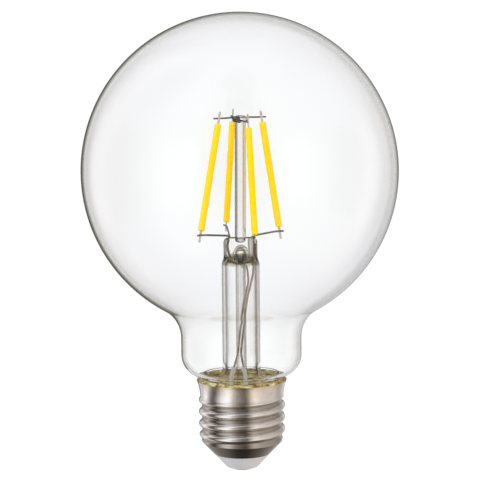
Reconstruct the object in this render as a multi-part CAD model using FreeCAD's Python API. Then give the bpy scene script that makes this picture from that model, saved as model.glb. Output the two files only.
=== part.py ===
import FreeCAD, Part
import math
import os

from FreeCAD import Vector

# A clear globe lamp on a 27 mm screw cap, with four straight light-emitting filaments.
# Millimetres, +Z up. The origin is the middle of the contact face at the foot of the cap.
# The left and right of each name are as seen from the front, looking along +Y.

# Glass envelope
overall_height = 138.2
globe_diameter = 95.0
envelope_wall = 0.8
neck_diameter = 36.4
globe_neck_fillet = 10.4
seal_clearance = 0.25
seal_depth = 2.4
shoulder_gap = 1.2

# Screw cap, rolled from sheet
cap_height = 27.4
cap_rim_diameter = 27.3
cap_sheet = 0.3
skirt_height = 4.5
skirt_foot_diameter = 25.3
skirt_flare = 1.7
thread_major = 26.15
thread_minor = 24.1
thread_pitch = 3.629
thread_crest_height = 19.5
thread_top_fade = 1.5
thread_foot_fade = 2.6
cone_top_height = 8.6
cone_top_diameter = 24.4
cone_foot_height = 4.8
cone_foot_diameter = 17.3

# Insulator and contact
insulator_face_diameter = 8.4
insulator_round = 0.9
insulator_round_height = 0.5
insulator_inner_height = 2.0
contact_diameter = 6.6
contact_thickness = 0.45
contact_pin_diameter = 1.8
contact_pin_proud = 0.6

# Cement between the glass and the cap
cement_clearance = 0.03
cement_below_rim = 0.15
cement_bead_height = 1.0
cement_bead_diameter = 24.8
cement_skirt_depth = 4.2
cement_ledge = 2.2
cement_hole_diameter = 10.0

# Glass stem: flare tube, flat press at its top and exhaust tube inside
stem_diameter = 11.4
stem_wall = 0.9
stem_shoulder_height = 62.5
stem_pinch_length = 2.5
press_height = 5.75
press_width = 10.2
press_thickness = 4.0
press_corner = 1.6
press_cavity_width = 8.0
press_cavity_thickness = 1.6
press_cavity_roof = 0.6
exhaust_diameter = 3.1
exhaust_bore = 1.8
exhaust_sealed_length = 0.7
exhaust_tip_clearance = 3.0
exhaust_hole_mouth = 2.6

# Support rod with its glass button; it leans to the right
rod_diameter = 3.3
rod_seat_depth = 1.5
rod_lean_degrees = 0.5
button_diameter = 4.8
button_height = 2.2
button_above_press = 35.65

# Filaments: a strip of dies in a yellow coating, with a flat metal tab at each end
filament_turn_degrees = 20.0
filament_foot_radius = 12.45
filament_head_radius = 7.0
coating_width = 1.95
coating_thickness = 1.8
coating_end_round = 0.4
strip_width = 0.9
strip_thickness = 0.4
tab_width = 0.65
tab_thickness = 0.25
tab_grip = 0.8
die_count = 24
die_length = 0.7
die_width = 0.4
die_height = 0.15

# One line for each filament: how many quarter turns from the right one, how far the foot of
# its coating is above the press and its head below the middle of the button, how far its
# tabs reach, and how far from the coating the wires cross them.
filaments = {
    "right": {"quarter": 0, "foot": 2.55, "head": 1.1, "tab_foot": 3.7, "tab_head": 3.3,
              "wire_foot": 1.3, "wire_head": 1.45},
    "back": {"quarter": 1, "foot": 3.25, "head": 1.3, "tab_foot": 3.0, "tab_head": 3.9,
             "wire_foot": 1.1, "wire_head": 1.7},
    "left": {"quarter": 2, "foot": 2.6, "head": 1.2, "tab_foot": 3.45, "tab_head": 3.6,
             "wire_foot": 1.25, "wire_head": 1.55},
    "front": {"quarter": 3, "foot": 2.25, "head": 2.05, "tab_foot": 2.4, "tab_head": 3.95,
              "wire_foot": 0.6, "wire_head": 1.6},
}

# Wires
lead_diameter = 0.6
branch_diameter = 0.5
cross_wire_diameter = 0.5
wire_bend = 0.8
lead_bend = 6.0
lead_rise = 0.55
lead_left_offset = 3.2
lead_right_offset = 4.0
wire_run_at_tab = 1.6
side_wire_rise = 0.45
depth_wire_drop = 0.35
side_wire_left_end = 1.6
side_wire_right_end = 1.5
depth_wire_end = 0.5
foot_wire_end = 1.1

# Sleeves over the leads, above the driver board
sleeve_wall = 0.325
sleeve_clearance = 0.05
sleeve_above_knee = 3.6
lead_knee_above_rim = 0.6

# The route of each lead. Inside the press: shares of its half width, half thickness and
# height. Inside the flare tube: shares of its bore radius, twice, and of the height from the
# knee to the roof. Its landing is where it meets the board.
lead_routes = {
    "right": {"press": [], "landing": (1.2, -2.5),
              "tube": [(0.77, -0.19, 0.88), (0.4, -0.52, 0.69), (0.16, -0.6, 0.47), (-0.03, -0.61, 0.22)]},
    "left": {"press": [(-0.76, 0.05, 0.5)], "landing": (-3.2, -2.4),
             "tube": [(-0.58, 0.1, 0.985), (-0.2, 0.56, 0.96), (0.42, 0.42, 0.93), (0.48, -0.21, 0.81),
                      (0.19, -0.5, 0.65), (-0.03, -0.6, 0.47), (-0.22, -0.61, 0.22)]},
}

# Driver inside the cap
board_clearance = 1.25
board_thickness = 1.0
board_headroom = 7.1
lead_tail = 0.6
capacitor_diameter = 6.3
capacitor_length = 6.0
capacitor_round = 0.4
capacitor_place = (-4.2, 3.2)
inductor_diameter = 5.0
inductor_length = 5.0
inductor_waist = 3.4
inductor_flange = 1.0
inductor_place = (4.8, 0.8)
resistor_diameter = 2.4
resistor_length = 6.4
resistor_place = (0.6, -6.6)
chip_length = 4.9
chip_width = 3.9
chip_height = 1.5
chip_place = (-4.6, 3.6)
rectifier_length = 4.7
rectifier_width = 4.0
rectifier_height = 1.6
rectifier_place = (4.0, 4.2)
contact_lead_diameter = 0.5
shell_lead_diameter = 0.5
shell_lead_inset = 1.3
shell_lead_rise = 2.4

# Fineness of the rolled thread
points_round = 36
rows_per_pitch = 8

# Values worked out from those above
globe_radius = globe_diameter / 2
globe_middle = overall_height - globe_radius
neck_radius = neck_diameter / 2
seal_radius = thread_minor / 2 - cap_sheet - seal_clearance
shoulder_foot = cap_height + shoulder_gap
shoulder_radius = neck_radius - seal_radius
shoulder_top = shoulder_foot + shoulder_radius
seal_foot = shoulder_foot - seal_depth
skirt_foot = cap_height - skirt_height
stem_radius = stem_diameter / 2
bell_radius = seal_radius - envelope_wall - stem_radius
bell_top = seal_foot + bell_radius
press_foot = stem_shoulder_height + stem_pinch_length
press_top = press_foot + press_height
press_roof = press_foot - press_cavity_roof
exhaust_top = press_foot + exhaust_sealed_length
exhaust_hole_height = exhaust_top + exhaust_bore / 2
cement_foot = seal_foot - stem_wall - cement_ledge
board_top = cement_foot - board_headroom
exhaust_tip = board_top + exhaust_tip_clearance
button_middle = press_top + button_above_press
button_shift = math.sin(math.radians(rod_lean_degrees)) * button_above_press
lead_knee = cap_height + lead_knee_above_rim
sleeve_bore = lead_diameter + 2 * sleeve_clearance
sleeve_diameter = sleeve_bore + 2 * sleeve_wall
board_foot = board_top - board_thickness
board_radius = thread_minor / 2 - cap_sheet - board_clearance
contact_pin_top = cone_foot_height + insulator_inner_height + contact_pin_proud


# An outline in the plane through the axis: each step is the end point of a straight line,
# or a middle point and an end point for an arc.
def outline(start, *steps):
    edges = []
    here = Vector(start[0], 0, start[1])
    for step in steps:
        if isinstance(step[0], tuple):
            middle = Vector(step[0][0], 0, step[0][1])
            there = Vector(step[1][0], 0, step[1][1])
            edges.append(Part.Arc(here, middle, there).toShape())
        else:
            there = Vector(step[0], 0, step[1])
            edges.append(Part.LineSegment(here, there).toShape())
        here = there
    return Part.Wire(edges)


# A solid turned about the axis from a closed outline.
def turned(wire):
    return Part.Face(wire).revolve(Vector(0, 0, 0), Vector(0, 0, 1), 360)


# A point on a circle in the plane through the axis, its angle counted from straight out.
def on_circle(middle_r, middle_z, radius, degrees):
    angle = math.radians(degrees)
    return (middle_r + radius * math.cos(angle), middle_z + radius * math.sin(angle))


# A round wire along straight runs joined by tangent arcs, with one bend for each corner.
def wire_along(points, diameter, bends):
    points = [Vector(p) for p in points]
    edges = []
    here = points[0]
    for before, corner, after, bend in zip(points, points[1:], points[2:], bends):
        run_in = (corner - before).normalize()
        run_out = (after - corner).normalize()
        turn = run_in.getAngle(run_out)
        room = 0.45 * min((corner - before).Length, (after - corner).Length)
        radius = min(bend, room / math.tan(turn / 2))
        reach = radius * math.tan(turn / 2)
        arc_start = corner - run_in * reach
        arc_end = corner + run_out * reach
        to_centre = (run_out - run_in * math.cos(turn)).normalize()
        centre = arc_start + to_centre * radius
        middle = centre + (corner - centre).normalize() * radius
        edges.append(Part.LineSegment(here, arc_start).toShape())
        edges.append(Part.Arc(arc_start, middle, arc_end).toShape())
        here = arc_end
    edges.append(Part.LineSegment(here, points[-1]).toShape())
    circle = Part.Wire(Part.makeCircle(diameter / 2, points[0], points[1] - points[0]))
    return Part.Wire(edges).makePipeShell([circle], True, False)


# A cylinder standing on a point.
def post(radius, height, x, y, z):
    return Part.makeCylinder(radius, height, Vector(x, y, z))


# A block centred on a point of its foot.
def block(length, width, height, x, y, z):
    return Part.makeBox(length, width, height, Vector(x - length / 2, y - width / 2, z))


# The blown envelope: globe, fillet into the neck, round shoulder and the seal inside the cap.
def make_envelope():
    def side(inset):
        fillet = globe_neck_fillet + inset
        radius = globe_radius - inset
        reach = neck_radius + globe_neck_fillet
        drop = math.sqrt((globe_radius + globe_neck_fillet) ** 2 - reach ** 2)
        fillet_z = globe_middle - drop
        slope = math.degrees(math.atan2(drop, reach))
        touch = on_circle(0, globe_middle, radius, -slope)
        return [
            (0, globe_middle + radius),
            (on_circle(0, globe_middle, radius, 45 - slope / 2), touch),
            (on_circle(reach, fillet_z, fillet, 180 - slope / 2), (neck_radius - inset, fillet_z)),
            (neck_radius - inset, shoulder_top),
            (on_circle(seal_radius, shoulder_top, shoulder_radius - inset, -45),
             (seal_radius, shoulder_top - shoulder_radius + inset)),
        ]

    outer = outline(*side(0.0))
    inner = outline(*side(envelope_wall))
    seal = outline((seal_radius, shoulder_foot), (seal_radius, seal_foot),
                   (seal_radius - envelope_wall, seal_foot),
                   (seal_radius - envelope_wall, shoulder_foot + envelope_wall),
                   (seal_radius, shoulder_foot + envelope_wall))
    crown = outline((0, globe_middle + globe_radius), (0, globe_middle + globe_radius - envelope_wall))
    return turned(Part.Wire(Part.__sortEdges__(outer.Edges + inner.Edges + seal.Edges + crown.Edges)))


# A closed wire of four edges, a circle or a flat oval, so that one blends into the other.
def round_section(radius, z):
    reach = radius / math.sqrt(2)
    corners = [(-reach, -reach), (reach, -reach), (reach, reach), (-reach, reach)]
    middles = [(0, -radius), (radius, 0), (0, radius), (-radius, 0)]
    edges = []
    for i in range(4):
        start = Vector(*corners[i], z)
        end = Vector(*corners[(i + 1) % 4], z)
        edges.append(Part.Arc(start, Vector(*middles[i], z), end).toShape())
    return Part.Wire(edges)


def oval_section(width, thickness, z):
    straight = (width - thickness) / 2
    half = thickness / 2
    a, b = Vector(-straight, -half, z), Vector(straight, -half, z)
    c, d = Vector(straight, half, z), Vector(-straight, half, z)
    right = Part.Arc(b, Vector(width / 2, 0, z), c).toShape()
    left = Part.Arc(d, Vector(-width / 2, 0, z), a).toShape()
    return Part.Wire([Part.LineSegment(a, b).toShape(), right, Part.LineSegment(c, d).toShape(), left])


# The stem: bell sealed to the neck, straight tube, and the press pinched flat at its top.
def make_stem(cut_by):
    bell_r = seal_radius - envelope_wall
    wide = bell_radius + stem_wall
    tube = turned(outline(
        (stem_radius, stem_shoulder_height), (stem_radius, bell_top),
        (on_circle(bell_r, bell_top, bell_radius, 225), (bell_r, seal_foot)),
        (seal_radius, seal_foot), (seal_radius, seal_foot - stem_wall), (bell_r, seal_foot - stem_wall),
        (on_circle(bell_r, bell_top, wide, 225), (stem_radius - stem_wall, bell_top)),
        (stem_radius - stem_wall, stem_shoulder_height), (stem_radius, stem_shoulder_height)))
    shoulder = Part.makeLoft([round_section(stem_radius, stem_shoulder_height),
                              oval_section(press_width, press_thickness, press_foot)], True, True)
    cavity = Part.makeLoft([round_section(stem_radius - stem_wall, stem_shoulder_height),
                            oval_section(press_cavity_width, press_cavity_thickness, press_roof)],
                           True, True)
    press = Part.Face(oval_section(press_width, press_thickness, press_foot))
    press = press.extrude(Vector(0, 0, press_height))
    half = press_width / 2
    corner = press_corner
    front = outline(
        (-half, press_foot), (half, press_foot), (half, press_top - corner),
        (on_circle(half - corner, press_top - corner, corner, 45), (half - corner, press_top)),
        (corner - half, press_top),
        (on_circle(corner - half, press_top - corner, corner, 135),
         (-half, press_top - corner)),
        (-half, press_foot))
    front = Part.Face(front).extrude(Vector(0, press_thickness, 0))
    front.translate(Vector(0, -press_thickness / 2, 0))
    hole = Part.makeCone(exhaust_bore / 2, exhaust_hole_mouth / 2, press_thickness / 2,
                         Vector(0, 0, exhaust_hole_height), Vector(0, -1, 0))
    hollow = Part.makeSphere(exhaust_bore / 2, Vector(0, 0, exhaust_hole_height))
    stem = tube.fuse([shoulder.cut(cavity), press.common(front)]).removeSplitter()
    return stem.cut([hole, hollow] + cut_by)


# The exhaust tube, closed at its tip by a flame; its bore opens into the hole in the press.
def exhaust_bar():
    radius = exhaust_diameter / 2
    side_foot = exhaust_tip + radius
    return turned(outline((0, exhaust_tip), (on_circle(0, side_foot, radius, -45), (radius, side_foot)),
                          (radius, exhaust_top), (0, exhaust_top), (0, exhaust_tip)))


def make_exhaust_tube():
    bore_foot = exhaust_tip + exhaust_diameter
    return exhaust_bar().cut(post(exhaust_bore / 2, exhaust_top - bore_foot, 0, 0, bore_foot))


# The support rod and the button melted onto its top, leaning slightly to the right.
def make_rod():
    foot = press_top - rod_seat_depth
    radius = rod_diameter / 2
    half = button_height / 2
    wide = button_diameter / 2
    slant = math.sqrt(0.5)
    rod = turned(outline(
        (0, foot), (radius, foot), (radius, button_middle - half),
        ((radius + (wide - radius) * slant, button_middle - half * slant), (wide, button_middle)),
        ((wide * slant, button_middle + half * slant), (0, button_middle + half)),
        (0, foot)))
    rod.rotate(Vector(0, 0, press_top), Vector(0, 1, 0), rod_lean_degrees)
    return rod


# Where a filament stands: its foot, its direction and the direction square to its flat side.
def filament_frame(name):
    row = filaments[name]
    angle = math.radians(filament_turn_degrees + 90 * row["quarter"])
    outward = Vector(math.cos(angle), math.sin(angle), 0)
    sideways = Vector(-math.sin(angle), math.cos(angle), 0)
    foot = outward * filament_foot_radius + Vector(0, 0, press_top + row["foot"])
    head = outward * filament_head_radius + Vector(button_shift, 0, button_middle - row["head"])
    along = (head - foot).normalize()
    flat = (sideways - along * sideways.dot(along)).normalize()
    return foot, head, along, flat, outward, sideways


# One filament as coating, die strip and two tabs, made upright and then set in its place.
def make_filament(name):
    row = filaments[name]
    foot, head, along, flat, outward, sideways = filament_frame(name)
    length = (head - foot).Length
    coating = Part.Face(oval_section(coating_width, coating_thickness, 0)).extrude(Vector(0, 0, length))
    ends = [e for e in coating.Edges if abs(e.BoundBox.ZLength) < 1e-6]
    coating = coating.makeFillet(coating_end_round, ends)
    strip_length = length - 2 * tab_grip
    strip = block(strip_width, strip_thickness, strip_length, 0, 0, tab_grip)
    pitch = strip_length / die_count
    for i in range(die_count):
        z = tab_grip + pitch * (i + 0.5) - die_length / 2
        die = block(die_width, die_height, die_length, 0, strip_thickness / 2 + die_height / 2, z)
        strip = strip.fuse(die)
    tab_foot = block(tab_width, tab_thickness, row["tab_foot"] + tab_grip, 0, 0, -row["tab_foot"])
    tab_head = block(tab_width, tab_thickness, row["tab_head"] + tab_grip, 0, 0, length - tab_grip)
    coating = coating.cut([strip, tab_foot, tab_head])
    turn = FreeCAD.Rotation(flat.cross(along), flat, along, "ZYX")
    made = {"coating": coating, "die_strip": strip, "tab_foot": tab_foot, "tab_head": tab_head}
    for shape in made.values():
        shape.Placement = FreeCAD.Placement(foot, turn)
    return made


# The point where a wire of a given thickness lies against a tab, on one side of it.
def wire_at_tab(name, end, diameter, side):
    foot, head, along, flat, outward, sideways = filament_frame(name)
    row = filaments[name]
    if end == "foot":
        middle = foot - along * row["wire_foot"]
    else:
        middle = head + along * row["wire_head"]
    return middle + flat * side * (tab_thickness + diameter) / 2, outward


# A wire right across the button, from the tab of one filament to that of the one opposite.
def make_cross_wire(first, second, height, first_end, second_end):
    start, first_out = wire_at_tab(first, "head", cross_wire_diameter, 1)
    end, second_out = wire_at_tab(second, "head", cross_wire_diameter, -1)
    across = (start + end) * 0.5
    middle = Vector(across.x, across.y, height)
    near = button_diameter / 4
    points = [start + first_out * first_end, start - first_out * wire_run_at_tab,
              middle + first_out * near, middle + second_out * near,
              end - second_out * wire_run_at_tab, end + second_out * second_end]
    return wire_along(points, cross_wire_diameter, [lead_bend] * 4)


# The corners of a lead, from its end at a tab to its tail under the driver board.
def lead_points(name):
    route = lead_routes[name]
    at_tab, outward = wire_at_tab(name, "foot", lead_diameter, 1 if name == "left" else -1)
    x = lead_right_offset if name == "right" else -lead_left_offset
    points = [at_tab + outward * foot_wire_end, at_tab - outward * wire_run_at_tab,
              Vector(x, 0, press_top + lead_rise)]
    for wide, deep, high in route["press"]:
        points.append(Vector(wide * press_width / 2, deep * press_thickness / 2,
                             press_foot + high * press_height))
    if not route["press"]:
        points.append(Vector(x, 0, press_foot + lead_rise))
    bore = stem_radius - stem_wall
    for wide, deep, high in route["tube"]:
        points.append(Vector(wide * bore, deep * bore, lead_knee + high * (press_roof - lead_knee)))
    across, deep = route["landing"]
    points.append(Vector(across, deep, lead_knee))
    points.append(Vector(across, deep, board_foot - lead_tail))
    return points


def make_lead(name):
    points = lead_points(name)
    bends = [lead_bend, wire_bend] + [lead_bend] * (len(points) - 4)
    return wire_along(points, lead_diameter, bends)


# A branch is welded to the side of a lead, where it leaves the press, and runs to another tab.
def make_branch(lead_name, filament_name, side, lead):
    at_tab, outward = wire_at_tab(filament_name, "foot", branch_diameter, side)
    start = lead_points(lead_name)[2] - Vector(0, 0, lead_rise / 2)
    points = [start, at_tab - outward * wire_run_at_tab, at_tab + outward * foot_wire_end]
    return wire_along(points, branch_diameter, [lead_bend]).cut(lead)


# A thin sleeve pushed over the lower end of a lead, down to the board.
def make_sleeve(name):
    above, knee, foot = lead_points(name)[-3:]
    top = knee + (above - knee) * (sleeve_above_knee / (above.z - knee.z))
    points = [top, knee, Vector(foot.x, foot.y, board_top)]
    outside = wire_along(points, sleeve_diameter, [lead_bend])
    return outside.cut(wire_along(points, sleeve_bore, [lead_bend]))


# Radius of the outside of the cap's skirt at a height: it flares out towards the rim.
def skirt_radius(z):
    share = (z - skirt_foot) / skirt_height
    return (skirt_foot_diameter + (cap_rim_diameter - skirt_foot_diameter) * share ** skirt_flare) / 2


# Radius of the outside of the thread: a round wave that climbs one pitch in each turn and
# fades out into the skirt above and the cone below.
def thread_radius(angle, z):
    above = min(1.0, (skirt_foot - z) / thread_top_fade)
    below = min(1.0, (z - cone_top_height) / thread_foot_fade)
    above = above * above * (3 - 2 * above)
    below = below * below * (3 - 2 * below)
    middle = (thread_major + thread_minor) / 4
    depth = (thread_major - thread_minor) / 4
    wave = math.cos(2 * math.pi * (z - thread_crest_height) / thread_pitch - angle)
    blend = middle + (skirt_foot_diameter / 2 - middle) * (1 - above)
    blend = blend + (cone_top_diameter / 2 - middle) * (1 - below)
    return blend + depth * wave * above * below


def ring_points(radius_at, z, inset):
    points = []
    for i in range(points_round + 1):
        angle = 2 * math.pi * (i % points_round) / points_round
        radius = radius_at(angle) - inset
        points.append(Vector(radius * math.cos(angle), radius * math.sin(angle), z))
    return points


# A band of sheet round the axis through rings of points.
def band(rings):
    surface = Part.BSplineSurface()
    surface.interpolate(rings)
    return surface.toShape()


# The rolled cap: skirt, thread and cone, outside and inside, closed at the rim and the foot.
def make_cap_shell():
    thread_rows = round((skirt_foot - cone_top_height) / thread_pitch * rows_per_pitch)
    faces = []
    edge_rings = []
    for inset in (0.0, cap_sheet):
        skirt, thread, cone = [], [], []
        for i in range(5):
            z = skirt_foot + skirt_height * i / 4
            skirt.append(ring_points(lambda angle: skirt_radius(z), z, inset))
        for i in range(thread_rows + 1):
            z = cone_top_height + (skirt_foot - cone_top_height) * i / thread_rows
            thread.append(ring_points(lambda angle: thread_radius(angle, z), z, inset))
        for i in range(3):
            z = cone_foot_height + (cone_top_height - cone_foot_height) * i / 2
            radius = (cone_foot_diameter + (cone_top_diameter - cone_foot_diameter) * i / 2) / 2
            cone.append(ring_points(lambda angle: radius, z, inset))
        faces += [band(skirt), band(thread), band(cone)]
        edge_rings.append((cone[0], skirt[-1]))
    (foot_out, rim_out), (foot_in, rim_in) = edge_rings
    for outer, inner in ((foot_out, foot_in), (rim_out, rim_in)):
        middle = [(a + b) * 0.5 for a, b in zip(outer, inner)]
        faces.append(band([outer, middle, inner]))
    shell = Part.makeShell(faces)
    shell.sewShape(1e-4)
    cap = Part.makeSolid(shell)
    if cap.Volume < 0:
        cap.reverse()
    return cap


# The cement ring holds the seal of the glass in the skirt, stands above the rim in a bead
# and reaches under the foot of the glass.
def make_cement():
    top = cap_height - cement_below_rim
    foot = top - cement_skirt_depth
    inset = cap_sheet + cement_clearance
    bevel = cement_ledge / 2
    steps = [foot + (top - foot) * i / 4 for i in range(5)]
    curve = Part.BSplineCurve()
    curve.interpolate([Vector(skirt_radius(z) - inset, 0, z) for z in steps])
    ledge_top = seal_foot - stem_wall
    hole = cement_hole_diameter / 2
    bead_top = top + cement_bead_height
    rest = outline((skirt_radius(top) - inset, top), (cement_bead_diameter / 2, bead_top),
                   (seal_radius, bead_top), (seal_radius, ledge_top),
                   (hole, ledge_top), (hole, cement_foot), (seal_radius - bevel, cement_foot),
                   (skirt_radius(foot) - inset - bevel, foot), (skirt_radius(foot) - inset, foot))
    return turned(Part.Wire(Part.__sortEdges__(rest.Edges + [curve.toShape()])))


# The insulator fills the foot of the cap: the edge of the cone rests on its ledge.
def make_insulator():
    face_r = insulator_face_diameter / 2
    foot_r = cone_foot_diameter / 2
    slope = (cone_top_diameter - cone_foot_diameter) / 2 / (cone_top_height - cone_foot_height)
    top = cone_foot_height + insulator_inner_height
    pin = contact_pin_diameter / 2
    corner = (face_r + insulator_round, contact_thickness + insulator_round_height)
    bulge = (face_r + insulator_round * 0.62, contact_thickness + insulator_round_height * 0.27)
    return turned(outline(
        (pin, contact_thickness), (face_r, contact_thickness), (bulge, corner),
        (foot_r, cone_foot_height), (foot_r - cap_sheet, cone_foot_height),
        (foot_r - cap_sheet + slope * insulator_inner_height, top), (pin, top), (pin, contact_thickness)))


def make_contact():
    radius = contact_diameter / 2
    pin = contact_pin_diameter / 2
    edge = contact_thickness / 2
    return turned(outline(
        (0, 0), (radius - edge, 0), (on_circle(radius - edge, edge, edge, -45), (radius, edge)),
        (radius, contact_thickness), (pin, contact_thickness), (pin, contact_pin_top),
        (0, contact_pin_top), (0, 0)))


# The driver: a round board with its parts, held by the leads inside the cap.
def make_driver(leads):
    board = post(board_radius, board_thickness, 0, 0, board_foot)
    capacitor = post(capacitor_diameter / 2, capacitor_length, *capacitor_place,
                     board_foot - capacitor_length)
    rims = [edge for edge in capacitor.Edges if edge.Closed]
    capacitor = capacitor.makeFillet(capacitor_round, rims)
    inductor_foot = board_foot - inductor_length
    inductor = post(inductor_diameter / 2, inductor_length, *inductor_place, inductor_foot)
    waist = post(inductor_diameter / 2, inductor_length - 2 * inductor_flange, *inductor_place,
                 inductor_foot + inductor_flange)
    core = post(inductor_waist / 2, inductor_length, *inductor_place, inductor_foot)
    inductor = inductor.cut(waist.cut(core))
    across, deep = resistor_place
    resistor = Part.makeCylinder(
        resistor_diameter / 2, resistor_length,
        Vector(across - resistor_length / 2, deep, board_foot - resistor_diameter / 2), Vector(1, 0, 0))
    chip = block(chip_length, chip_width, chip_height, *chip_place, board_top)
    rectifier = block(rectifier_length, rectifier_width, rectifier_height, *rectifier_place,
                      board_top)
    return {"driver_board": board.cut(leads), "smoothing_capacitor": capacitor, "inductor": inductor,
            "fusible_resistor": resistor, "driver_chip": chip, "bridge_rectifier": rectifier}


# A straight lead from the board to the pin of the contact.
def make_contact_lead():
    return post(contact_lead_diameter / 2, board_top + lead_tail - contact_pin_top, 0, 0,
                contact_pin_top)


# The other lead goes from the board to the inside of the thread, where a root is level with it.
def make_shell_lead():
    height = board_top + shell_lead_rise
    angle = 2 * math.pi * (height - thread_crest_height) / thread_pitch - math.pi
    outward = Vector(math.cos(angle), math.sin(angle), 0)
    start = outward * (board_radius - shell_lead_inset)
    reach = thread_radius(angle, height) - cap_sheet
    points = [start + Vector(0, 0, board_foot - lead_tail), start + Vector(0, 0, height),
              outward * reach + Vector(0, 0, height)]
    return wire_along(points, shell_lead_diameter, [wire_bend])


def make_part():
    rod = make_rod()
    side_wire = make_cross_wire("right", "left", button_middle + side_wire_rise,
                                side_wire_right_end, side_wire_left_end)
    depth_wire = make_cross_wire("back", "front", button_middle - depth_wire_drop,
                                 depth_wire_end, depth_wire_end)
    lead_left = make_lead("left")
    lead_right = make_lead("right")
    contact_lead = make_contact_lead()
    shell_lead = make_shell_lead()
    nodes = {
        "globe_envelope": make_envelope(),
        "stem_glass": make_stem([exhaust_bar(), rod, lead_left, lead_right]),
        "exhaust_tube": make_exhaust_tube(),
        "support_rod": rod.cut([side_wire, depth_wire]),
        "side_wire": side_wire,
        "depth_wire": depth_wire,
        "lead_left": lead_left,
        "lead_right": lead_right,
        "branch_back": make_branch("left", "back", 1, lead_left),
        "branch_front": make_branch("right", "front", -1, lead_right),
        "sleeve_left": make_sleeve("left"),
        "sleeve_right": make_sleeve("right"),
        "cap_shell": make_cap_shell(),
        "capping_cement": make_cement(),
        "insulator": make_insulator(),
        "centre_contact": make_contact(),
        "contact_lead": contact_lead,
        "shell_lead": shell_lead,
    }
    nodes.update(make_driver([lead_left, lead_right, contact_lead, shell_lead]))
    for name in filaments:
        for piece, shape in make_filament(name).items():
            nodes[piece + "_" + name] = shape
    return nodes


os.makedirs("parts", exist_ok=True)
for node, shape in make_part().items():
    shape.exportStep("parts/" + node + ".step")
    print(node, len(shape.Solids), round(shape.Volume, 2), shape.isValid())
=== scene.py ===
import math
from functools import partial

import bmesh
import bpy
import numpy as np
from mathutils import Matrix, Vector


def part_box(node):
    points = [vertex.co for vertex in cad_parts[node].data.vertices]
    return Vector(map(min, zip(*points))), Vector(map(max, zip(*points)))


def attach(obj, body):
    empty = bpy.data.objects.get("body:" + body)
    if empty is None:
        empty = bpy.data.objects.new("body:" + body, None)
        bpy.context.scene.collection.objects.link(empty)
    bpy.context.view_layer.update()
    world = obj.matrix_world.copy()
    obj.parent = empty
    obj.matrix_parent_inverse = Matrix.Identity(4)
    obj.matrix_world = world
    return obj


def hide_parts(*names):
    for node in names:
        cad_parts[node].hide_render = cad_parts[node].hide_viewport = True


# A clear globe bulb on a screw cap, with four straight filaments, dressed around its CAD frame.
# Lengths are in millimetres and become metres only where a mesh, light or camera is made.
mm = 0.001

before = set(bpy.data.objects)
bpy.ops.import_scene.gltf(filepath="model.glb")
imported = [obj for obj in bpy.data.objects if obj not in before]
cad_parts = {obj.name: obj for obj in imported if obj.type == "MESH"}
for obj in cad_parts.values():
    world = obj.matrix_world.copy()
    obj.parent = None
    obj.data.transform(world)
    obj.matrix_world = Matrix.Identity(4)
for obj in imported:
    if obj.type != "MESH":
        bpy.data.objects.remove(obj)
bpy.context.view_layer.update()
print("Frame loaded:", len(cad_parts), "nodes")


# Shapes

# Points (r, z) of an arc: the middle plus radius times the cosine and sine of an even angle.
def arc(middleR, middleZ, radius, startDegrees, endDegrees, count):
    angle = np.radians(np.linspace(startDegrees, endDegrees, count))
    return np.stack([middleR + radius * np.cos(angle), middleZ + radius * np.sin(angle)], axis=1)


# Points (r, z) of a straight run: start times (1 - share) plus end times share.
def run(start, end, count):
    share = np.linspace(0, 1, count)[:, None]
    return np.array(start) * (1 - share) + np.array(end) * share


# Straight runs from corner to corner, each without its start.
def runs(corners, counts):
    return [run(start, end, count)[1:] for start, end, count in zip(corners, corners[1:], counts)]


# A profile turned about Z: x = r cos(a), y = r sin(a) for each profile point and angle.
def turned(profile, columns):
    angle = np.arange(columns) * 2 * np.pi / columns
    r, z = profile[:, :1], profile[:, 1:]
    return np.stack([r * np.cos(angle), r * np.sin(angle), z + 0 * angle], axis=-1)


# A share that rises from 0 at low to 1 at high as 3s^2 - 2s^3.
def smooth(value, low, high):
    share = np.clip((value - low) / (high - low), 0, 1)
    return share * share * (3 - 2 * share)


# A grid of points becomes one closed skin. Its columns go once round; its rows either join end
# to start or end in a point or a line at each end, which merging points closer than mergeGap closes.
mergeGap = 0.0002


def makePiece(name, grid, material, replaced, rowsJoin=False, sharpDegrees=35):
    rows, columns = grid.shape[:2]
    row, column = np.meshgrid(np.arange(rows if rowsJoin else rows - 1), np.arange(columns),
                              indexing="ij")
    above, beside = (row + 1) % rows, (column + 1) % columns
    faces = np.stack([row * columns + column, row * columns + beside,
                      above * columns + beside, above * columns + column], axis=-1)
    mesh = bpy.data.meshes.new(name)
    mesh.from_pydata((grid.reshape(-1, 3) * mm).tolist(), [], faces.reshape(-1, 4).tolist())
    skin = bmesh.new()
    skin.from_mesh(mesh)
    bmesh.ops.remove_doubles(skin, verts=skin.verts, dist=mergeGap * mm)
    bmesh.ops.recalc_face_normals(skin, faces=skin.faces)
    skin.to_mesh(mesh)
    skin.free()
    mesh.shade_smooth()
    mesh.set_sharp_from_angle(angle=math.radians(sharpDegrees))
    mesh.materials.append(material)
    piece = bpy.data.objects.new(name, mesh)
    bpy.context.scene.collection.objects.link(piece)
    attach(piece, "root")
    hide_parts(*replaced)
    return piece


# Materials

# An sRGB hex colour as linear light.
def linear(hexColour):
    parts = [int(hexColour[i:i + 2], 16) / 255 for i in (1, 3, 5)]
    return tuple(c / 12.92 if c <= 0.04045 else ((c + 0.055) / 1.055) ** 2.4 for c in parts) + (1.0,)


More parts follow.
